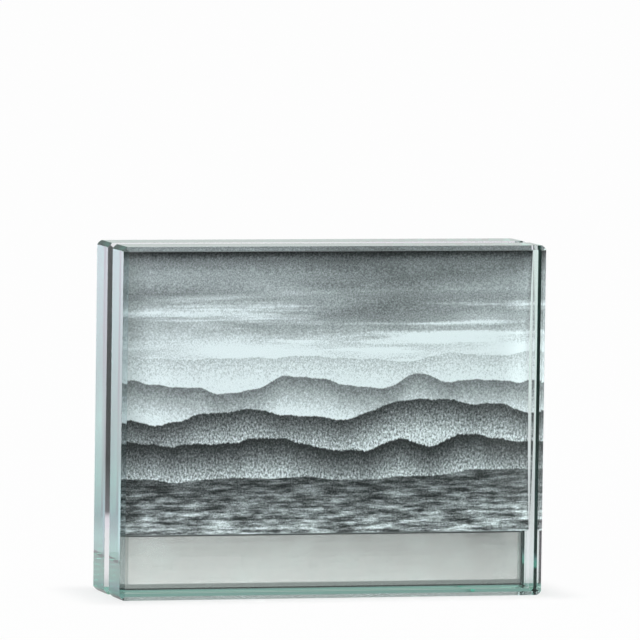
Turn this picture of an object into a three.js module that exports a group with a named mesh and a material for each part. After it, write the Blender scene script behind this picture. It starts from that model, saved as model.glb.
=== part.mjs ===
// Glass block picture frame: two thick chamfered panes bonded to a spacer bar, with a print in the slot.
// Millimetres. X runs across the picture, Y from front to back, Z up from the underside of the glass.

import * as THREE from 'three';
import { ConvexGeometry } from 'three/addons/geometries/ConvexGeometry.js';

// Print
const printWidth = 152;
const printHeight = 102;
const printThickness = 0.25;
const printBow = 3.1; // its middle lies this far behind its top and bottom edges
const bowSegments = 8; // curve steps on each half of the bow

// Glass panes
const paneThickness = 19;
const paneChamfer = 1.5; // both legs of the chamfer on every edge
const leftMargin = 3.7; // glass beyond the left side of the print
const rightMargin = 1.7; // glass beyond its right side
const topMargin = 2.5; // glass above the print

// Spacer bar and its bond films
const barHeight = 19.5;
const barLift = 2.6; // underside of the bar above the underside of the glass
const barInset = 3.8; // glass beyond each end of the bar
const barEdgeBreak = 0.4;
const bondThickness = 0.25;
const bondEndInset = 1.5; // bare metal beyond each end of the film
const bondFootInset = 2.2; // bare metal below it
const bondTopInset = 0.4;

// Clearances around the print
const printFrontGap = 0.35; // front pane to the top and bottom edges of the print
const printRearGap = 0.3; // rear pane to the middle of the print
const printSeatGap = 0.3; // spacer bar to the bottom edge of the print

// Sizes that follow from the ones above
const slotDepth = printFrontGap + printBow + printThickness + printRearGap;
const paneWidth = leftMargin + printWidth + rightMargin;
const printCentreX = (leftMargin - rightMargin) / 2;
const barTop = barLift + barHeight;
const printBottom = barTop + printSeatGap;
const paneHeight = printBottom + printHeight + topMargin;
const paneCentreY = (slotDepth + paneThickness) / 2;
const barLength = paneWidth - 2 * barInset;
const barThickness = slotDepth - 2 * bondThickness;
const bondCentreY = (barThickness + bondThickness) / 2;
const bondLength = barLength - 2 * bondEndInset;
const bondHeight = barHeight - bondFootInset - bondTopInset;
const barCentreZ = barLift + barHeight / 2;
const bondCentreZ = barLift + bondFootInset + bondHeight / 2;
const printRearY = slotDepth / 2 - printRearGap;

const clearGlass = new THREE.MeshStandardMaterial({
  color: 0xd3e4df,
  roughness: 0.04,
  metalness: 0,
  transparent: true,
  opacity: 0.35,
});

const brightMetal = new THREE.MeshStandardMaterial({
  color: 0xbfc4c2,
  roughness: 0.2,
  metalness: 1,
});

const clearAdhesive = new THREE.MeshStandardMaterial({
  color: 0xe2ebe8,
  roughness: 0.15,
  metalness: 0,
  transparent: true,
  opacity: 0.4,
});

const photoPaper = new THREE.MeshStandardMaterial({
  color: 0x6f7977,
  roughness: 0.3,
  metalness: 0,
});

// Block about the origin with every edge chamfered at 45 degrees, three chamfers meeting at each corner
function chamferedBlock(width, depth, height, chamfer) {
  const half = new THREE.Vector3(width, depth, height).divideScalar(2);
  const flatInset = [
    new THREE.Vector3(0, chamfer, chamfer),
    new THREE.Vector3(chamfer, 0, chamfer),
    new THREE.Vector3(chamfer, chamfer, 0),
  ];
  const cornerInset = new THREE.Vector3(chamfer, chamfer, chamfer).divideScalar(2);
  const points = [];
  for (const signX of [-1, 1]) {
    for (const signY of [-1, 1]) {
      for (const signZ of [-1, 1]) {
        const sign = new THREE.Vector3(signX, signY, signZ);
        for (const inset of [...flatInset, cornerInset]) {
          points.push(half.clone().sub(inset).multiply(sign));
        }
      }
    }
  }
  return new ConvexGeometry(points);
}

// Sheet curved about a level axis in front of it, its rear face's middle at Y = 0 and its foot at Z = 0
function bowedSheet(width, height, thickness, bow) {
  const rearRadius = (height ** 2 / 4 + bow ** 2) / (2 * bow);
  const halfAngle = Math.asin(height / 2 / rearRadius);
  const section = new THREE.Shape();
  section.absarc(-rearRadius, height / 2, rearRadius, -halfAngle, halfAngle, false);
  section.absarc(-rearRadius, height / 2, rearRadius - thickness, halfAngle, -halfAngle, true);
  section.closePath();
  const sheet = new THREE.ExtrudeGeometry(section, {
    depth: width,
    bevelEnabled: false,
    curveSegments: bowSegments,
  });
  sheet.translate(0, 0, -width / 2);
  sheet.rotateX(Math.PI / 2);
  sheet.rotateZ(Math.PI / 2);
  return sheet;
}

function addPiece(parent, name, geometry, material, x, y, z) {
  const piece = new THREE.Mesh(geometry, material);
  piece.name = name;
  piece.position.set(x, y, z);
  parent.add(piece);
}

function glassBlock() {
  const block = new THREE.Group();
  const pane = chamferedBlock(paneWidth, paneThickness, paneHeight, paneChamfer);
  const bar = chamferedBlock(barLength, barThickness, barHeight, barEdgeBreak);
  const bond = new THREE.BoxGeometry(bondLength, bondThickness, bondHeight);
  addPiece(block, 'front_pane', pane, clearGlass, 0, -paneCentreY, paneHeight / 2);
  addPiece(block, 'rear_pane', pane, clearGlass, 0, paneCentreY, paneHeight / 2);
  addPiece(block, 'spacer_bar', bar, brightMetal, 0, 0, barCentreZ);
  addPiece(block, 'front_bond', bond, clearAdhesive, 0, -bondCentreY, bondCentreZ);
  addPiece(block, 'rear_bond', bond, clearAdhesive, 0, bondCentreY, bondCentreZ);
  return block;
}

function slottedPrint() {
  const print = new THREE.Group();
  const sheet = bowedSheet(printWidth, printHeight, printThickness, printBow);
  addPiece(print, 'photo_print', sheet, photoPaper, printCentreX, printRearY, printBottom);
  return print;
}

const pictureFrame = new THREE.Group();
pictureFrame.add(glassBlock());
pictureFrame.add(slottedPrint());

export default pictureFrame;
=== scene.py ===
import math
import bmesh
import bpy
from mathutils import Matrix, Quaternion, Vector


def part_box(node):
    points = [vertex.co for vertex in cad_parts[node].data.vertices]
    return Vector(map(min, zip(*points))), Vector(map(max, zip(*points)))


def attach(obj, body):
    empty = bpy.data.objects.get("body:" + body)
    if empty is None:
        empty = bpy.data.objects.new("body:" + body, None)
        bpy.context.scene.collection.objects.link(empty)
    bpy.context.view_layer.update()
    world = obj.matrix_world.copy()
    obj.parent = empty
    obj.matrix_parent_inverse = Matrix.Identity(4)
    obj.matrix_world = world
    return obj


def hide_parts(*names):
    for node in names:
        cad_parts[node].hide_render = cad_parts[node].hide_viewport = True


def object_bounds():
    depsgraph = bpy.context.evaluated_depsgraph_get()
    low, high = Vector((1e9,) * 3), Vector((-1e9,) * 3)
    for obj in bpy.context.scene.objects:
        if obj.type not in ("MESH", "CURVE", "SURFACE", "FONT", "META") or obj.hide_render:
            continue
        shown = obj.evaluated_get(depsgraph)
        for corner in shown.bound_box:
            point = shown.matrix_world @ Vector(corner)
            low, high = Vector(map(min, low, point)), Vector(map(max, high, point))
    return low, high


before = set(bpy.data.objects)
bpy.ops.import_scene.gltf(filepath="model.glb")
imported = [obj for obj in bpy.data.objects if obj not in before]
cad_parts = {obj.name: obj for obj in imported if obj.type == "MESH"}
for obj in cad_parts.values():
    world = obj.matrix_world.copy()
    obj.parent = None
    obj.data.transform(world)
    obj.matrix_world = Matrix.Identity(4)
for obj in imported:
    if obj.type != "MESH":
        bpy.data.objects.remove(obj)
cadLow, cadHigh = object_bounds()
mm = 0.001
hair = 0.01 * mm  # heights closer than this count as the same
blockMiddle = (cadLow + cadHigh) / 2
print("frame loaded, box in mm:", [round(side / mm, 2) for side in cadHigh - cadLow])


# small modelling helpers

def addBox(name, low, high):
    bpy.ops.object.select_all(action="DESELECT")
    bpy.ops.mesh.primitive_cube_add(size=1, location=(low + high) / 2)
    box = bpy.context.object
    box.name = name
    box.data.name = name
    box.scale = high - low
    bpy.ops.object.transform_apply(location=True, rotation=True, scale=True)
    return box


def editStart(piece, mode):
    bpy.ops.object.select_all(action="DESELECT")
    piece.select_set(True)
    bpy.context.view_layer.objects.active = piece
    bpy.ops.object.mode_set(mode="EDIT")
    bpy.ops.mesh.select_mode(type=mode)
    bpy.ops.mesh.select_all(action="DESELECT")


def editEnd():
    bpy.ops.mesh.select_all(action="SELECT")
    bpy.ops.mesh.normals_make_consistent(inside=False)
    bpy.ops.object.mode_set(mode="OBJECT")


def pickFaces(piece, wanted):
    mesh = bmesh.from_edit_mesh(piece.data)
    for face in mesh.faces:
        face.select_set(wanted(face))
    mesh.select_flush_mode()
    bmesh.update_edit_mesh(piece.data)


def pickEdges(piece, wanted):
    mesh = bmesh.from_edit_mesh(piece.data)
    for edge in mesh.edges:
        edge.select_set(wanted(edge))
    mesh.select_flush_mode()
    bmesh.update_edit_mesh(piece.data)


def runsAlong(edge, axis):
    step = edge.verts[1].co - edge.verts[0].co
    return abs(step[axis]) > 0.999 * step.length


def giveMaterials(piece, materials, slotOf):
    piece.data.materials.clear()
    for material in materials:
        piece.data.materials.append(material)
    for face in piece.data.polygons:
        face.material_index = slotOf(face)


def settle(piece, body, node):
    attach(piece, body)
    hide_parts(node)


# small node helpers

noiseSpan = (0.3, 0.7)  # most of a noise texture's values lie in here


def newMaterial(name):
    material = bpy.data.materials.new(name)
    material.use_nodes = True
    nodes = material.node_tree.nodes
    nodes.clear()
    output = nodes.new("ShaderNodeOutputMaterial")
    shader = nodes.new("ShaderNodeBsdfPrincipled")
    material.node_tree.links.new(shader.outputs["BSDF"], output.inputs["Surface"])
    return material, shader


def setInputs(node, **values):
    for name, value in values.items():
        node.inputs[name.replace("_", " ")].default_value = value


# a number is set on the socket, anything else is linked to it
def feed(tree, socket, value):
    if isinstance(value, (int, float)):
        socket.default_value = value
    else:
        tree.links.new(value, socket)


def addMath(tree, operation, first, second=None, clamp=False):
    node = tree.nodes.new("ShaderNodeMath")
    node.operation = operation
    node.use_clamp = clamp
    feed(tree, node.inputs[0], first)
    if second is not None:
        feed(tree, node.inputs[1], second)
    return node.outputs[0]


def addProduct(tree, *factors):
    result = factors[0]
    for factor in factors[1:]:
        result = addMath(tree, "MULTIPLY", result, factor)
    return result


def addHighest(tree, *values):
    result = values[0]
    for value in values[1:]:
        result = addMath(tree, "MAXIMUM", result, value)
    return result


def addRange(tree, value, fromLow, fromHigh, toLow=0.0, toHigh=1.0, smooth=False):
    node = tree.nodes.new("ShaderNodeMapRange")
    node.interpolation_type = "SMOOTHSTEP" if smooth else "LINEAR"
    tree.links.new(value, node.inputs["Value"])
    limits = (("From Min", fromLow), ("From Max", fromHigh), ("To Min", toLow), ("To Max", toHigh))
    for name, limit in limits:
        feed(tree, node.inputs[name], limit)
    return node.outputs["Result"]


def addMix(tree, factor, first, second):
    node = tree.nodes.new("ShaderNodeMix")
    node.data_type = "FLOAT"
    for name, value in (("Factor", factor), ("A", first), ("B", second)):
        feed(tree, node.inputs[name], value)
    return node.outputs["Result"]


def addColourMix(tree, factor, first, second):
    node = tree.nodes.new("ShaderNodeMix")
    node.data_type = "RGBA"
    sockets = {socket.identifier: socket for socket in node.inputs}
    tree.links.new(factor, sockets["Factor_Float"])
    for key, colour in (("A_Color", first), ("B_Color", second)):
        if isinstance(colour, tuple):
            sockets[key].default_value = (*colour, 1)
        else:
            tree.links.new(colour, sockets[key])
    return [socket for socket in node.outputs if socket.identifier == "Result_Color"][0]


def addNoise(tree, vector, scale, detail, roughness=0.5, dimensions="3D"):
    node = tree.nodes.new("ShaderNodeTexNoise")
    node.noise_dimensions = dimensions
    setInputs(node, Scale=scale, Detail=detail, Roughness=roughness)
    tree.links.new(vector, node.inputs["W" if dimensions == "1D" else "Vector"])
    return node.outputs["Fac"]


def addToneRamp(tree, value, tones):
    ramp = tree.nodes.new("ShaderNodeValToRGB")
    stops = ramp.color_ramp.elements
    while len(stops) < len(tones):
        stops.new(0.5)
    for stop, (place, tone) in zip(stops, tones):
        stop.position = place
        stop.color = (tone, tone, tone, 1)
    tree.links.new(value, ramp.inputs["Fac"])
    return ramp.outputs["Color"]


def addMapping(tree, location=(0, 0, 0), scale=(1, 1, 1)):
    coordinates = tree.nodes.new("ShaderNodeTexCoord")
    mapping = tree.nodes.new("ShaderNodeMapping")
    mapping.inputs["Location"].default_value = location
    mapping.inputs["Scale"].default_value = scale
    tree.links.new(coordinates.outputs["Object"], mapping.inputs["Vector"])
    return mapping.outputs["Vector"]


def addParts(tree, vector):
    parts = tree.nodes.new("ShaderNodeSeparateXYZ")
    tree.links.new(vector, parts.inputs["Vector"])
    return parts.outputs


# glass

glassSpec = {
    "index": 1.52,
    "tint": (0.99, 0.998, 0.995),
    "chamferShadeTint": (0.39, 0.45, 0.46),  # painted shade on the chamfers round the outer faces
    "chamferLitTint": (0.95, 0.98, 0.98),  # painted light on those along their tops and right sides
    "endChamferShadeTint": (0.44, 0.37, 0.39),  # painted shade on the chamfers across the ends
    "footGreenShadeTint": (0.30, 1.0, 0.66),  # painted green shade on the chamfers under the slot
    "absorbColour": (0.55, 0.90, 0.83, 1),
    "absorbDensity": 11.2,
    "flatLimit": 0.99,  # a normal squarer than this belongs to a polished flat
    "turnSpan": (0.1, 0.7),  # how far a chamfer looks up or right
    "endLimit": 0.3,  # chamfers across the ends look forward or back less than this
    "footLimit": -0.5,
    "groundRoughness": (0.02, 0.07),
    "grindScale": (260, 260, 260),
    "grindDepth": 0.01 * mm,
    "grindStrength": 0.3,
}


def glassMaterial():
    material, shader = newMaterial("clear_float_glass")
    tree = material.node_tree
    setInputs(shader, IOR=glassSpec["index"], Transmission_Weight=1.0)
    inside = tree.nodes.new("ShaderNodeVolumeAbsorption")
    setInputs(inside, Color=glassSpec["absorbColour"], Density=glassSpec["absorbDensity"])
    tree.links.new(inside.outputs["Volume"], tree.nodes["Material Output"].inputs["Volume"])
    # the chamfers are ground, the six flats are polished: their normals tell them apart
    geometry = tree.nodes.new("ShaderNodeNewGeometry")
    normal = addParts(tree, geometry.outputs["True Normal"])
    square = addHighest(tree, *(addMath(tree, "ABSOLUTE", normal[axis]) for axis in "XYZ"))
    ground = addMath(tree, "LESS_THAN", square, glassSpec["flatLimit"])
    depth = addMath(tree, "ABSOLUTE", addParts(tree, addMapping(tree))["Y"])
    outside = addMath(tree, "GREATER_THAN", depth, cadHigh.y / 2)
    across = addMath(tree, "LESS_THAN", addMath(tree, "ABSOLUTE", normal["Y"]), glassSpec["endLimit"])
    turned = addHighest(tree, *(addRange(tree, normal[axis], *glassSpec["turnSpan"]) for axis in "XZ"))
    under = addMath(tree, "LESS_THAN", normal["Z"], glassSpec["footLimit"])
    under = addProduct(tree, addMath(tree, "SUBTRACT", 1.0, outside), under)
    # painted light and shade on the ground chamfers: darker unless they face up or right, darker across the
    # ends, green under the slot
    outer = addColourMix(tree, turned, glassSpec["chamferShadeTint"], glassSpec["chamferLitTint"])
    tint = addColourMix(tree, addProduct(tree, ground, outside), glassSpec["tint"], outer)
    tint = addColourMix(tree, addProduct(tree, ground, across), tint, glassSpec["endChamferShadeTint"])
    tint = addColourMix(tree, addProduct(tree, ground, under), tint, glassSpec["footGreenShadeTint"])
    tree.links.new(tint, shader.inputs["Base Color"])
    grain = addNoise(tree, addMapping(tree, scale=glassSpec["grindScale"]), 1.0, 3.0)
    rough = addRange(tree, grain, *noiseSpan, *glassSpec["groundRoughness"])
    tree.links.new(addProduct(tree, rough, ground), shader.inputs["Roughness"])
    bump = tree.nodes.new("ShaderNodeBump")
    setInputs(bump, Strength=glassSpec["grindStrength"], Distance=glassSpec["grindDepth"])
    tree.links.new(addProduct(tree, grain, ground), bump.inputs["Height"])
    tree.links.new(bump.outputs["Normal"], shader.inputs["Normal"])
    return material


clearGlass = glassMaterial()
print("glass made")


# panes

paneSpec = {
    "chamfer": 1.5 * mm,
    "edgeRound": 0.08 * mm,
    "edgeSteps": 2,
}
cornerRise = math.sqrt(3) / 6  # from the cut corner's middle out to where three chamfers meet, in chamfers


def shapePane(name, node):
    pane = addBox(name, *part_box(node))
    editStart(pane, "EDGE")
    bpy.ops.mesh.select_all(action="SELECT")
    bpy.ops.mesh.bevel(offset=paneSpec["chamfer"], segments=1, affect="EDGES")
    bpy.ops.mesh.select_mode(type="FACE")
    pickFaces(pane, lambda face: len(face.verts) == 3)
    bpy.ops.mesh.poke(offset=paneSpec["chamfer"] * cornerRise)
    bpy.ops.mesh.select_all(action="SELECT")
    bpy.ops.mesh.dissolve_limited(angle_limit=math.radians(1))
    bpy.ops.mesh.select_mode(type="EDGE")
    bpy.ops.mesh.select_all(action="SELECT")
    bpy.ops.mesh.bevel(offset=paneSpec["edgeRound"], segments=paneSpec["edgeSteps"], affect="EDGES")
    editEnd()
    giveMaterials(pane, (clearGlass,), lambda face: 0)
    settle(pane, "glass_block", node)
    return pane


frontPane = shapePane("front_glass", "front_pane")
rearPane = shapePane("rear_glass", "rear_pane")
print("panes shaped:", len(frontPane.data.polygons), "and", len(rearPane.data.polygons), "faces")


# spacer bar and the outline of its bond

bondSpec = {
    "skinGap": 0.03 * mm,  # keeps each film just off the glass and the metal
    "cornerRadius": 0.6 * mm,
    "cornerSteps": 4,
    "outlineSoft": 0.2 * mm,
    "colour": (0.90, 0.94, 0.93, 1),
    "roughness": 0.15,
    "index": 1.5,
    "alpha": (0.02, 0.10),
    "cloudScale": (90, 90, 90),
    "cloudSpan": (0.4, 0.75),
}

barSpec = {
    "endBreak": 0.8 * mm,
    "topBreak": 0.25 * mm,
    "footBreak": 0.65 * mm,
    "breakSteps": 2,
    "colour": (0.95, 0.86, 0.86),
    "streakColour": (0.90, 0.81, 0.81),
    "streakScale": (12, 900, 900),
    "streakSpan": (0.35, 0.65),
    "roughness": (0.03, 0.06),
    "bareFootShadeColour": (0.40, 0.39, 0.385),  # the border that the bond leaves free at the foot: duller metal, painted darker as shade
    "bareEndColour": (0.66, 0.62, 0.61),  # and at the ends
    "bareSoft": 0.3 * mm,
    "bareRoughness": 0.14,
    "endMargin": 0.6 * mm,  # the bond thins out this far from its ends
    # the bar's edge breaks, ends, top and foot are painted nearly black, as painted shade for the dark lines
    # along them
    "edgeShadeColour": (0.012, 0.018, 0.016),
    "edgeShadeWearColour": (0.04, 0.05, 0.05),
    "edgeScale": (700, 700, 700),
    "edgeSpan": (0.45, 0.75),
    "edgeRoughness": (0.25, 0.45),
    "edgeGloss": 0.2,
}


# 1 inside a rounded rectangle that lies across X and Z, 0 outside it
def addPatch(tree, low, high, radius, soft):
    place = addParts(tree, addMapping(tree, location=-(low + high) / 2))
    squares = []
    for index, axis in ((0, "X"), (2, "Z")):
        half = (high[index] - low[index]) / 2 - radius
        beyond = addMath(tree, "SUBTRACT", addMath(tree, "ABSOLUTE", place[axis]), half)
        squares.append(addMath(tree, "POWER", addHighest(tree, beyond, 0.0), 2.0))
    reach = addMath(tree, "SQRT", addMath(tree, "ADD", *squares))
    return addRange(tree, reach, radius - soft, radius + soft, 1.0, 0.0, smooth=True)


def metalMaterial():
    material, shader = newMaterial("polished_bar_metal")
    tree = material.node_tree
    setInputs(shader, Metallic=1.0)
    streaks = addNoise(tree, addMapping(tree, scale=barSpec["streakScale"]), 1.0, 4.0, 0.6)
    share = addRange(tree, streaks, *barSpec["streakSpan"])
    bright = addColourMix(tree, share, barSpec["colour"], barSpec["streakColour"])
    low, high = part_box("front_bond")
    high.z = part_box("spacer_bar")[1].z  # the bond runs out over the top edge
    ends = Vector((barSpec["endMargin"], 0, 0))
    bonded = addPatch(tree, low + ends, high - ends, bondSpec["cornerRadius"], bondSpec["outlineSoft"])
    rise = addParts(tree, addMapping(tree))["Z"]
    # the free border is a darker grey, and darker still at the foot, where it is painted shade
    above = addRange(tree, rise, low.z - barSpec["bareSoft"], low.z + barSpec["bareSoft"])
    bare = addColourMix(tree, above, barSpec["bareFootShadeColour"], barSpec["bareEndColour"])
    tree.links.new(addColourMix(tree, bonded, bare, bright), shader.inputs["Base Color"])
    polish = addRange(tree, streaks, *noiseSpan, *barSpec["roughness"])
    tree.links.new(addMix(tree, bonded, barSpec["bareRoughness"], polish), shader.inputs["Roughness"])
    return material


def shadedEdgeMaterial():
    material, shader = newMaterial("bar_edge_painted_shade")
    tree = material.node_tree
    setInputs(shader, Specular_IOR_Level=barSpec["edgeGloss"])
    marks = addNoise(tree, addMapping(tree, scale=barSpec["edgeScale"]), 1.0, 4.0, 0.6)
    worn = addRange(tree, marks, *barSpec["edgeSpan"])
    # nearly black: painted shade along the bar's edges, varied by faint marks
    colour = addColourMix(tree, worn, barSpec["edgeShadeColour"], barSpec["edgeShadeWearColour"])
    tree.links.new(colour, shader.inputs["Base Color"])
    rough = addRange(tree, marks, *noiseSpan, *barSpec["edgeRoughness"])
    tree.links.new(rough, shader.inputs["Roughness"])
    return material


def shapeBar():
    low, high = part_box("spacer_bar")
    bar = addBox("bar", low, high)
    editStart(bar, "EDGE")
    pickEdges(bar, lambda edge: runsAlong(edge, 2))
    bpy.ops.mesh.bevel(offset=barSpec["endBreak"], segments=barSpec["breakSteps"], affect="EDGES")
    pickEdges(bar, lambda edge: all(vert.co.z > high.z - hair for vert in edge.verts))
    bpy.ops.mesh.bevel(offset=barSpec["topBreak"], segments=barSpec["breakSteps"], affect="EDGES")
    pickEdges(bar, lambda edge: all(vert.co.z < low.z + hair for vert in edge.verts))
    bpy.ops.mesh.bevel(offset=barSpec["footBreak"], segments=barSpec["breakSteps"], affect="EDGES")
    editEnd()
    giveMaterials(bar, (metalMaterial(), shadedEdgeMaterial()),
                  lambda face: 0 if abs(face.normal.y) > 0.99 else 1)
    settle(bar, "glass_block", "spacer_bar")
    return bar


bar = shapeBar()
print("spacer bar shaped:", len(bar.data.polygons), "faces")


# bond films

def adhesiveMaterial():
    material, shader = newMaterial("cured_adhesive")
    tree = material.node_tree
    setInputs(shader, Base_Color=bondSpec["colour"], Roughness=bondSpec["roughness"], IOR=bondSpec["index"])
    cloud = addNoise(tree, addMapping(tree, scale=bondSpec["cloudScale"]), 1.0, 3.0)
    tree.links.new(addRange(tree, cloud, *bondSpec["cloudSpan"], *bondSpec["alpha"]), shader.inputs["Alpha"])
    return material


def shapeBond(name, node, material):
    low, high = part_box(node)
    gap = Vector((0, bondSpec["skinGap"], 0))
    film = addBox(name, low + gap, high - gap)
    editStart(film, "EDGE")
    pickEdges(film, lambda edge: runsAlong(edge, 1))
    bpy.ops.mesh.bevel(offset=bondSpec["cornerRadius"], segments=bondSpec["cornerSteps"], affect="EDGES")
    editEnd()
    giveMaterials(film, (material,), lambda face: 0)
    settle(film, "glass_block", node)


adhesive = adhesiveMaterial()
shapeBond("front_film", "front_bond", adhesive)
shapeBond("rear_film", "rear_bond", adhesive)
print("bond films shaped")


# print: a black and white picture of misty hills on bowed photo paper

printSpec = {
    "thickness": 0.25 * mm,
    "bowSteps": 48,
    "darkInk": (0.012, 0.012, 0.013),
    "paleInk": (0.97, 0.96, 1.0),
    "contrast": 2.2,
    "gloss": 0.14,
    "roughness": (0.30, 0.40),
    "grainScale": 1700,
    "grainSpan": (0.25, 0.75),
    "grainShare": 0.36,
    "backColour": (0.82, 0.83, 0.82),
    "backShade": 0.93,
    "backScale": (900, 900, 900),
    "backRoughness": (0.5, 0.65),
}

# each texture of the picture: marks in a picture's height across and up, detail, roughness
pictureTextures = {
    "clouds": (1.3, 6.5, 7.0, 0.55),
    "wisps": (1.1, 22, 5.0, 0.5),
    "trees": (150, 100, 4.0, 0.65),
    "grass": (9, 60, 6.0, 0.7),
}
# what is made of it: noise from and to, tone from and to
pictureShades = {
    "clouds": (0.3, 0.7, 0.74, 1.26),
    "wisps": (0.52, 0.72, 0.0, 0.6),
    "farTrees": (0.3, 0.7, 0.86, 1.14),
    "nearTrees": (0.32, 0.68, 0.45, 1.55),
    "grass": (0.36, 0.64, 0.15, 2.05),
}
wispBand = (0.9, 0.76)  # wisps fade in between these heights

# tone of the sky at heights from the hills up to the top edge
skyTones = ((0.50, 1.0), (0.64, 0.99), (0.72, 0.74), (0.80, 0.65),
            (0.92, 0.61), (0.955, 0.55), (0.974, 0.46), (0.996, 0.14))

# each row: crest height, swing, bends, seed, crest tone, foot tone, fade depth, rough edge
hillRows = (
    (0.63, 0.14, 1.6, 3.1, 0.82, 1.06, 0.10, 0.004),
    (0.54, 0.20, 2.1, 17.4, 0.46, 1.04, 0.13, 0.006),
    (0.43, 0.20, 1.8, 41.7, 0.20, 0.90, 0.13, 0.012),
    (0.32, 0.18, 2.4, 63.2, 0.10, 0.86, 0.14, 0.018),
    (0.20, 0.10, 1.7, 88.5, 0.26, 0.54, 0.18, 0.010),
)
rowInputs = ("Crest", "Swing", "Bends", "Seed", "Crest Tone", "Foot Tone", "Depth", "Rough Edge")
twigBends = 40.0  # times as many bends in the rough edge as in the crest
crestSoft = 0.006


def hillGroup():
    group = bpy.data.node_groups.new("hill_layer", "ShaderNodeTree")
    for name in ("Under", "Across", "Up", *rowInputs, "Texture"):
        group.interface.new_socket(name, in_out="INPUT", socket_type="NodeSocketFloat")
    group.interface.new_socket("Tone", in_out="OUTPUT", socket_type="NodeSocketFloat")
    given = group.nodes.new("NodeGroupInput").outputs
    result = group.nodes.new("NodeGroupOutput").inputs
    along = addProduct(group, given["Across"], given["Bends"])
    along = addMath(group, "ADD", along, given["Seed"])
    swell = addNoise(group, along, 1.0, 3.0, 0.45, "1D")
    twigs = addNoise(group, addProduct(group, along, twigBends), 1.0, 4.0, 0.7, "1D")
    crest = given["Crest"]
    for noise, size in ((swell, given["Swing"]), (twigs, given["Rough Edge"])):
        offset = addProduct(group, addMath(group, "SUBTRACT", noise, 0.5), size)
        crest = addMath(group, "ADD", crest, offset)
    below = addMath(group, "SUBTRACT", crest, given["Up"])
    inside = addRange(group, below, 0.0, crestSoft, smooth=True)
    fade = addRange(group, below, 0.0, given["Depth"])
    tone = addProduct(group, addMix(group, fade, given["Crest Tone"], given["Foot Tone"]), given["Texture"])
    group.links.new(addMix(group, inside, given["Under"], tone), result["Tone"])
    return group


def pictureMaterial(low, high):
    material, shader = newMaterial("printed_hills")
    tree = material.node_tree
    setInputs(shader, Specular_IOR_Level=printSpec["gloss"])
    unit = 1 / (high.z - low.z)  # the picture's height is 1, so its foot is 0 and its top 1
    place = addParts(tree, addMapping(tree, (0, 0, -low.z * unit), (unit, 0, unit)))
    noise = {}
    for name, (across, up, detail, roughness) in pictureTextures.items():
        mapping = addMapping(tree, scale=(unit * across, 0, unit * up))
        noise[name] = addNoise(tree, mapping, 1.0, detail, roughness)
    sources = {"farTrees": "trees", "nearTrees": "trees"}
    shade = {}
    for name, limits in pictureShades.items():
        shade[name] = addRange(tree, noise[sources.get(name, name)], *limits)
    # sky first, then each row of hills over what lies behind it
    sky = addProduct(tree, addToneRamp(tree, place["Z"], skyTones), shade["clouds"])
    band = addRange(tree, place["Z"], *wispBand, smooth=True)
    tone = addMath(tree, "ADD", sky, addProduct(tree, band, shade["wisps"]))
    layer = hillGroup()
    for row, texture in zip(hillRows, ("farTrees", "farTrees", "nearTrees", "nearTrees", "grass")):
        hill = tree.nodes.new("ShaderNodeGroup")
        hill.node_tree = layer
        for name, value in zip(rowInputs, row):
            hill.inputs[name].default_value = value
        links = {"Under": tone, "Across": place["X"], "Up": place["Z"], "Texture": shade[texture]}
        for name, source in links.items():
            tree.links.new(source, hill.inputs[name])
        tone = hill.outputs["Tone"]
    grain = addNoise(tree, addMapping(tree), printSpec["grainScale"], 2.0, 0.7)
    half = printSpec["grainShare"] / 2
    tone = addMath(tree, "ADD", tone, addRange(tree, grain, *printSpec["grainSpan"], -half, half))
    tone = addMath(tree, "POWER", addHighest(tree, tone, 0.0), printSpec["contrast"], clamp=True)
    colour = addColourMix(tree, tone, printSpec["darkInk"], printSpec["paleInk"])
    tree.links.new(colour, shader.inputs["Base Color"])
    rough = addRange(tree, grain, *noiseSpan, *printSpec["roughness"])
    tree.links.new(rough, shader.inputs["Roughness"])
    return material


def paperMaterial():
    material, shader = newMaterial("paper_back")
    tree = material.node_tree
    fibre = addNoise(tree, addMapping(tree, scale=printSpec["backScale"]), 1.0, 5.0, 0.6)
    pale = printSpec["backColour"]
    dull = tuple(part * printSpec["backShade"] for part in pale)
    colour = addColourMix(tree, addRange(tree, fibre, *noiseSpan), dull, pale)
    tree.links.new(colour, shader.inputs["Base Color"])
    rough = addRange(tree, fibre, *noiseSpan, *printSpec["backRoughness"])
    tree.links.new(rough, shader.inputs["Roughness"])
    return material


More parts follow.
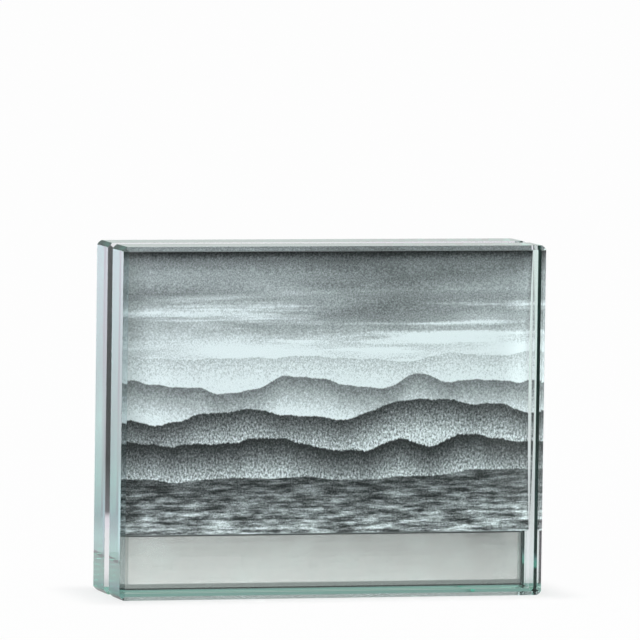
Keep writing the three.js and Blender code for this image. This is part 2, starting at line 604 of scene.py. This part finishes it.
def shapePrint():
    low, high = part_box("photo_print")
    width = high.x - low.x
    height = high.z - low.z
    bow = high.y - low.y - printSpec["thickness"]
    radius = (height ** 2 / 4 + bow ** 2) / (2 * bow)
    halfAngle = math.asin(height / 2 / radius)
    foot = Vector(((low.x + high.x) / 2, high.y - bow, low.z))
    bpy.ops.object.select_all(action="DESELECT")
    bpy.ops.mesh.primitive_plane_add(size=width, location=foot)
    sheet = bpy.context.object
    sheet.name = "paper_print"
    sheet.data.name = "paper_print"
    bpy.ops.object.transform_apply(location=True, rotation=True, scale=True)
    # only the plane's front edge is kept, and spun up into the bow
    editStart(sheet, "VERT")
    mesh = bmesh.from_edit_mesh(sheet.data)
    for vert in mesh.verts:
        vert.select_set(vert.co.y > foot.y)
    bmesh.update_edit_mesh(sheet.data)
    bpy.ops.mesh.delete(type="VERT")
    bpy.ops.mesh.select_all(action="SELECT")
    bpy.ops.transform.translate(value=(0, width / 2, 0))
    bpy.ops.mesh.spin(steps=printSpec["bowSteps"], angle=2 * halfAngle,
                      center=(0, high.y - radius, (low.z + high.z) / 2), axis=(-1, 0, 0))
    editEnd()
    sheet.modifiers.new("paper", "SOLIDIFY").thickness = printSpec["thickness"]
    sheet.modifiers["paper"].offset = -1
    bpy.ops.object.modifier_apply(modifier="paper")
    giveMaterials(sheet, (pictureMaterial(low, high), paperMaterial()),
                  lambda face: 0 if face.normal.y < -0.5 else 1)
    settle(sheet, "print", "photo_print")
    return sheet


paperPrint = shapePrint()
depths = [round(corner[1] / mm, 3) for corner in paperPrint.bound_box]
print("print shaped, y from", min(depths), "to", max(depths), "mm")


# floor

floorSpec = {
    "size": 24.0,
    "gap": 0.05 * mm,  # the air that is left under the glass
    "colour": (0.80, 0.81, 0.82, 1),
    "glow": 0.97,  # how much of its white is its own, as the camera sees it
    "contactGlow": 0.75,  # the share of that right beside the glass, which darkens the floor there: partly its real shadow, partly painted shade
    "contactReach": 0.02,
}

# painted light and shade on the floor, which only glass and metal see, as levels of its glow; pairs of places
# in metres are where a level starts and is full
mirrorSpec = {
    "glow": 0.95,
    "frontLevel": 0.12,  # painted dark strip that the front glass mirrors to the camera
    "frontSlope": 0.267,  # it runs this far to the right for each metre forward
    "besideLevel": 0.45,  # right beside the strip
    "besideEdge": (0.066, 0.072),
    "besideEnd": (-1.0, -0.6),
    "sideLevel": 1.0,  # on either hand of both
    "sideEdges": ((-0.09, -0.13), (0.12, 0.2)),
    "poolLevel": 0.88,  # painted pool of light just in front of the glass, where the bar mirrors it
    "poolReach": 0.30,
    "poolShift": 0.05,
    "poolFoot": (0.0, -0.03),
    "poolLeft": (-0.1, -0.08),
    "poolRight": (0.11, 0.15),
    "poolRightShare": 0.35,
    "turnOver": (-0.1, 0.1),  # from front to back
    "leftToRight": (-0.08, 0.08),
    "backLeft": (0.6, 0.97),  # behind on the left, near and far
    "backLeftReach": (0.1, 0.9),
    "backLeftEdge": (-0.16, -0.1),
    "backRight": (0.28, 0.6),
    "backRightReach": (0.5, 3.0),
    "nearLeft": 1.0,  # close behind on either hand
    "nearLeftReach": (0.15, 0.5),
    "nearRight": 0.95,
    "nearRightReach": (0.15, 0.6),
    "runnerShadeLevel": 0.2,  # painted dark strip behind, which shows in the slot's left end
    "runnerInset": 0.0096,
    "runnerSlope": 0.89,
    "runnerOrigin": 0.1,  # it widens from this far in front of the middle
    "runnerWidth": (0.12, 0.22),
    "runnerStart": (0.235, 0.26),
    "gutterShadeLevel": 0.05,  # painted dark strip that runs off to the left
    "gutterWidth": (0.035, 0.05),
    "gutterStart": (0.022, 0.018),
    "shadeLevel": 0.82,  # painted shade close around the foot of the glass
    "shadeReach": (0.02, 0.04),
    "paintedTintReach": (0.5, 0.2),  # painted tints in the floor's glow, which only glass and metal see, on the left, on the right and behind
    "paintedTintEdge": 0.01,
    "leftColour": (1.0, 0.77, 1.0),
    "rightColour": (1.0, 0.88, 0.97),
    "behindColour": (1.0, 0.92, 0.96),
    "behindStart": (0.03, 0.06),
}


# how far a point of the floor lies outside the object's footprint
def addAway(tree, across, deep):
    squares = []
    for place, half in ((across, cadHigh.x), (deep, cadHigh.y)):
        beyond = addMath(tree, "SUBTRACT", addMath(tree, "ABSOLUTE", place), half)
        squares.append(addMath(tree, "POWER", addHighest(tree, beyond, 0.0), 2.0))
    return addMath(tree, "SQRT", addMath(tree, "ADD", *squares))


def frontPaintedLight(tree, across, deep):
    drift = addMath(tree, "ADD", across, addProduct(tree, deep, mirrorSpec["frontSlope"]))
    beside = addProduct(tree, addRange(tree, drift, *mirrorSpec["besideEdge"]),
                        addRange(tree, deep, *mirrorSpec["besideEnd"]))
    tone = addMix(tree, beside, mirrorSpec["frontLevel"], mirrorSpec["besideLevel"])
    sides = addHighest(tree, *(addRange(tree, drift, *edge) for edge in mirrorSpec["sideEdges"]))
    return addMix(tree, sides, tone, mirrorSpec["sideLevel"])


def poolPaintedLight(tree, across, deep):
    squares = []
    for place in (addMath(tree, "ADD", across, mirrorSpec["poolShift"]), deep):
        squares.append(addMath(tree, "POWER", addMath(tree, "DIVIDE", place, mirrorSpec["poolReach"]), 2.0))
    pool = addMath(tree, "EXPONENT", addProduct(tree, addMath(tree, "ADD", *squares), -1.0))
    foot = addRange(tree, deep, *mirrorSpec["poolFoot"], 0.0, mirrorSpec["poolLevel"])
    left = addRange(tree, across, *mirrorSpec["poolLeft"])
    right = addRange(tree, across, *mirrorSpec["poolRight"], 1.0, mirrorSpec["poolRightShare"])
    return addProduct(tree, pool, foot, left, right)


def backPaintedLight(tree, across, away):
    far = mirrorSpec["backLeft"][1]
    left = addHighest(
        tree,
        addRange(tree, away, *mirrorSpec["backLeftReach"], *mirrorSpec["backLeft"], smooth=True),
        addRange(tree, away, *mirrorSpec["nearLeftReach"], mirrorSpec["nearLeft"], 0.0, smooth=True),
        addRange(tree, across, *mirrorSpec["backLeftEdge"], 0.0, far))
    right = addHighest(
        tree,
        addRange(tree, away, *mirrorSpec["backRightReach"], *mirrorSpec["backRight"], smooth=True),
        addRange(tree, away, *mirrorSpec["nearRightReach"], mirrorSpec["nearRight"], 0.0, smooth=True))
    return addMix(tree, addRange(tree, across, *mirrorSpec["leftToRight"], smooth=True), left, right)


def runnerPaintedShade(tree, across, deep):
    lean = addProduct(tree, addMath(tree, "SUBTRACT", deep, cadHigh.y), mirrorSpec["runnerSlope"])
    aside = addMath(tree, "SUBTRACT", across, cadLow.x + mirrorSpec["runnerInset"])
    aside = addMath(tree, "ABSOLUTE", addMath(tree, "SUBTRACT", aside, lean))
    aside = addMath(tree, "DIVIDE", aside, addMath(tree, "ADD", deep, mirrorSpec["runnerOrigin"]))
    runner = addRange(tree, aside, *mirrorSpec["runnerWidth"], mirrorSpec["runnerShadeLevel"], 1.0, smooth=True)
    return addHighest(tree, runner, addRange(tree, deep, *mirrorSpec["runnerStart"], 1.0, 0.0))


def gutterPaintedShade(tree, across, deep):
    width = addMath(tree, "ABSOLUTE", deep)
    beyond = addRange(tree, width, *mirrorSpec["gutterWidth"], mirrorSpec["gutterShadeLevel"], 1.0)
    start, end = mirrorSpec["gutterStart"]
    return addHighest(tree, beyond, addRange(tree, across, cadLow.x - start, cadLow.x - end))


def floorMaterial():
    material, shader = newMaterial("pale_floor")
    tree = material.node_tree
    nodes = tree.nodes
    nodes.remove(shader)
    diffuse = nodes.new("ShaderNodeBsdfDiffuse")
    diffuse.inputs["Color"].default_value = floorSpec["colour"]
    glow = nodes.new("ShaderNodeEmission")
    path = nodes.new("ShaderNodeLightPath")
    seen = path.outputs["Is Camera Ray"]
    unseen = addMath(tree, "SUBTRACT", 1.0, seen)
    mirrored = addHighest(tree, path.outputs["Is Glossy Ray"], path.outputs["Is Transmission Ray"])
    place = addParts(tree, addMapping(tree))
    across, deep = place["X"], place["Y"]
    away = addAway(tree, across, deep)
    # painted light and shade that glass and metal see
    turn = addRange(tree, deep, *mirrorSpec["turnOver"], smooth=True)
    tone = addMix(tree, turn, frontPaintedLight(tree, across, deep), backPaintedLight(tree, across, away))
    tone = addHighest(tree, tone, poolPaintedLight(tree, across, deep))
    tone = addProduct(tree, tone, runnerPaintedShade(tree, across, deep), gutterPaintedShade(tree, across, deep))
    # painted tints that glass and metal see
    edge = mirrorSpec["paintedTintEdge"]
    close = addRange(tree, away, *mirrorSpec["paintedTintReach"], smooth=True)
    leftPaintedTint = addProduct(tree, addRange(tree, across, cadLow.x, cadLow.x - edge), close)
    rightPaintedTint = addProduct(tree, addRange(tree, across, cadHigh.x, cadHigh.x + edge), close,
                            addRange(tree, deep, -edge, edge))
    behind = addProduct(tree, addRange(tree, deep, *mirrorSpec["behindStart"]),
                        addRange(tree, across, *mirrorSpec["backLeftEdge"]))
    colour = (1.0, 1.0, 1.0)
    for tintMask, name in ((leftPaintedTint, "leftColour"), (behind, "behindColour"), (rightPaintedTint, "rightColour")):
        colour = addColourMix(tree, addProduct(tree, tintMask, unseen), colour, mirrorSpec[name])
    tree.links.new(colour, glow.inputs["Color"])
    shade = addRange(tree, away, *mirrorSpec["shadeReach"], mirrorSpec["shadeLevel"], 1.0, smooth=True)
    tone = addProduct(tree, tone, addHighest(tree, shade, leftPaintedTint))
    tree.links.new(addMix(tree, seen, tone, 1.0), glow.inputs["Strength"])
    # the camera sees white with the object's shadow in it, glass and metal see the painted light and shade
    # less glow beside the glass: painted shade, with the real shadow showing through
    contact = addRange(tree, away, 0.0, floorSpec["contactReach"], floorSpec["contactGlow"], 1.0, smooth=True)
    share = addHighest(tree, addProduct(tree, seen, contact, floorSpec["glow"]),
                       addProduct(tree, mirrored, mirrorSpec["glow"]))
    mix = nodes.new("ShaderNodeMixShader")
    tree.links.new(share, mix.inputs["Fac"])
    tree.links.new(diffuse.outputs["BSDF"], mix.inputs[1])
    tree.links.new(glow.outputs["Emission"], mix.inputs[2])
    tree.links.new(mix.outputs["Shader"], nodes["Material Output"].inputs["Surface"])
    return material


def layFloor():
    bpy.ops.object.select_all(action="DESELECT")
    level = cadLow.z - floorSpec["gap"]
    bpy.ops.mesh.primitive_plane_add(size=floorSpec["size"], location=(0, 0, level))
    floor = bpy.context.object
    floor.name = "floor"
    floor.data.materials.append(floorMaterial())


layFloor()
print("floor laid")


# black card beside the glass, for dark lines in it

cardSpec = {
    "place": (-0.122, 0.03, 0.1),
    "size": (0.2, 0.18, 1),
    "colour": (0.01, 0.01, 0.01, 1),
    "roughness": 0.9,
}


def hangCard():
    bpy.ops.object.select_all(action="DESELECT")
    bpy.ops.mesh.primitive_plane_add(size=1, location=cardSpec["place"], rotation=(0, math.pi / 2, 0))
    card = bpy.context.object
    card.name = "black_card"
    card.scale = cardSpec["size"]
    bpy.ops.object.transform_apply(location=True, rotation=True, scale=True)
    material, shader = newMaterial("black_card")
    setInputs(shader, Base_Color=cardSpec["colour"], Roughness=cardSpec["roughness"])
    card.data.materials.append(material)
    card.visible_camera = False
    card.visible_diffuse = False
    card.visible_shadow = False


hangCard()


# world: heights are those of the view's direction, from 0 at the horizon to 1 overhead

worldSpec = {
    "levels": (0.96, 1.0, 0.5),  # at the horizon, half way up and overhead
    "lowRise": (0.0, 0.4),
    "highFall": (0.5, 0.95),
    "gap": (0.1, 0.6),  # how dark it is between backdrop and ceiling, in front and behind
    "gapTurn": (-0.3, 0.3),
    "gapFoot": (0.12, 0.16),
    "gapTop": (0.52, 0.44),
}


def lightWorld():
    world = bpy.data.worlds.new("studio")
    bpy.context.scene.world = world
    world.use_nodes = True
    tree = world.node_tree
    tree.nodes.clear()
    output = tree.nodes.new("ShaderNodeOutputWorld")
    background = tree.nodes.new("ShaderNodeBackground")
    coordinates = tree.nodes.new("ShaderNodeTexCoord")
    view = addParts(tree, coordinates.outputs["Generated"])
    horizon, middle, overhead = worldSpec["levels"]
    low = addRange(tree, view["Z"], *worldSpec["lowRise"], horizon, middle, smooth=True)
    high = addRange(tree, view["Z"], *worldSpec["highFall"], 1.0, overhead / middle, smooth=True)
    gap = addProduct(tree, addRange(tree, view["Z"], *worldSpec["gapFoot"]),
                     addRange(tree, view["Z"], *worldSpec["gapTop"]),
                     addRange(tree, view["Y"], *worldSpec["gapTurn"], *worldSpec["gap"]))
    level = addProduct(tree, low, high, addMath(tree, "SUBTRACT", 1.0, gap))
    tree.links.new(level, background.inputs["Strength"])
    tree.links.new(background.outputs["Background"], output.inputs["Surface"])


lightWorld()


# lamps

keySpec = {
    "place": (-1.3, -2.0, 0.95),
    "aim": blockMiddle,
    "size": (1.6, 1.6),
    "power": 34,
    "colour": (1, 1, 1),
}

# small panel behind on the left, which the left ends of the panes mirror
panelSpec = {
    "place": (-0.12, 0.155, 0.062),
    "aim": (-0.0787, 0, 0.062),
    "size": (0.09, 0.124),
    "power": 0.038,
    "colour": (0.93, 0.74, 1),
    "footShare": 0.18,  # it is dimmer at its foot
    "fullFrom": 0.85,
}


def addSoftbox(name, spec):
    bpy.ops.object.light_add(type="AREA", location=spec["place"])
    lamp = bpy.context.object
    lamp.name = name
    lamp.data.shape = "RECTANGLE"
    lamp.data.size, lamp.data.size_y = spec["size"]
    lamp.data.energy = spec["power"]
    lamp.data.color = spec["colour"]
    lamp.visible_camera = False
    lamp.rotation_euler = (Vector(spec["aim"]) - Vector(spec["place"])).to_track_quat("-Z", "Y").to_euler()
    return lamp


def gradeLamp(lamp, footShare, fullFrom):
    lamp.data.use_nodes = True
    tree = lamp.data.node_tree
    emission = [node for node in tree.nodes if node.type == "EMISSION"][0]
    geometry = tree.nodes.new("ShaderNodeNewGeometry")
    rise = addParts(tree, geometry.outputs["Parametric"])["Y"]
    tree.links.new(addRange(tree, rise, 0.0, fullFrom, footShare, 1.0), emission.inputs["Strength"])


addSoftbox("key_softbox", keySpec)
panel = addSoftbox("side_panel", panelSpec)
gradeLamp(panel, panelSpec["footShare"], panelSpec["fullFrom"])
print("card, world and lamps placed")


# camera

cameraSpec = {
    "azimuth": -15.4,
    "elevation": 4.76,
    "distance": 3.383,
    "aimRise": 0.03544,
    "aimSide": -0.00033,
    "roll": 0.784,
    "lens": 526.4,
}
glassBounces = 24  # light runs back and forth in the panes


def placeCamera():
    turn = math.radians(cameraSpec["azimuth"])
    lift = math.radians(cameraSpec["elevation"])
    back = Vector((math.sin(turn) * math.cos(lift), -math.cos(turn) * math.cos(lift), math.sin(lift)))
    place = blockMiddle + back * cameraSpec["distance"]
    across = Vector((math.cos(turn), math.sin(turn), 0))
    aim = blockMiddle + across * cameraSpec["aimSide"] + Vector((0, 0, cameraSpec["aimRise"]))
    bpy.ops.object.camera_add(location=place)
    camera = bpy.context.object
    camera.rotation_mode = "QUATERNION"
    level = (aim - place).to_track_quat("-Z", "Y")
    camera.rotation_quaternion = level @ Quaternion((0, 0, 1), math.radians(cameraSpec["roll"]))
    camera.data.lens = cameraSpec["lens"]
    bpy.context.scene.camera = camera


placeCamera()
scene = bpy.context.scene
scene.view_settings.view_transform = "Standard"
scene.cycles.max_bounces = glassBounces
scene.cycles.transmission_bounces = glassBounces
scene.cycles.glossy_bounces = glassBounces
scene.cycles.blur_glossy = 0.0  # clear glass stays clear for the light on the print
print("camera placed")
